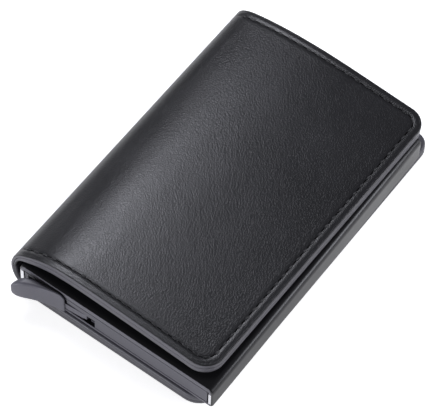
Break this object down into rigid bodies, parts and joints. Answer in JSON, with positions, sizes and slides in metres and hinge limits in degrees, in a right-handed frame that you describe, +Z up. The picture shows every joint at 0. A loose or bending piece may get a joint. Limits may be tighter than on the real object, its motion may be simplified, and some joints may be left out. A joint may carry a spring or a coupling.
{
  "type": "card wallet",
  "caption": "Leather wrap wallet around a flat metal card case, with a thumb lever that fans the cards out of its mouth.",
  "frame": {"origin": "on the flat resting face of the back panel, under the centre of the card case", "axes": "+X from the spine to the free edge of the front flap, +Y from the lever end to the mouth where the cards come out, +Z up through the thickness, from the back panel to the front flap"},
  "size_m": [0.0661, 0.1068, 0.0216],
  "materials": {
    "case_sleeve": "anodised grey, satin",
    "end_cap": "moulded grey plastic, satin",
    "pivot_pin": "plain steel",
    "friction_strip_left": "black felt",
    "friction_strip_right": "black felt",
    "case_adhesive": "double-sided mounting tape",
    "back_cover": "smooth black leather",
    "back_board": "grey stiffening board",
    "back_lining": "black lining leather",
    "lever": "moulded grey plastic, satin",
    "spine_cover": "smooth black leather",
    "spine_lining": "black lining leather",
    "front_cover": "smooth black leather with a stitched border",
    "front_board": "grey stiffening board",
    "front_lining": "black lining leather",
    "upper_pocket": "black lining leather",
    "lower_pocket": "black lining leather"
  },
  "bodies": {
    "case": {"case_sleeve": "case_sleeve", "end_cap": "end_cap", "pivot_pin": "pivot_pin", "friction_strip_left": "friction_strip_left", "friction_strip_right": "friction_strip_right", "case_adhesive": "case_adhesive", "back_cover": "back_cover", "back_board": "back_board", "back_lining": "back_lining"},
    "lever": {"lever": "lever"},
    "spine": {"spine_cover": "spine_cover", "spine_lining": "spine_lining"},
    "front": {"front_cover": "front_cover", "front_board": "front_board", "front_lining": "front_lining", "upper_pocket": "upper_pocket", "lower_pocket": "lower_pocket"}
  },
  "joints": [
    {"name": "lever_pivot", "type": "hinge", "parent": "case", "child": "lever", "pos_m": [-0.00525, -0.0431, 0.0037], "axis": [0, 0, 1], "range_deg": [0, 35]},
    {"name": "spine_hinge", "type": "hinge", "parent": "case", "child": "spine", "pos_m": [-0.03407, 0, 0.00088], "axis": [0, -1, 0], "range_deg": [0, 90]},
    {"name": "cover_hinge", "type": "hinge", "parent": "spine", "child": "front", "pos_m": [-0.03301, 0, 0.01448], "axis": [0, -1, 0], "range_deg": [0, 70]}
  ]
}
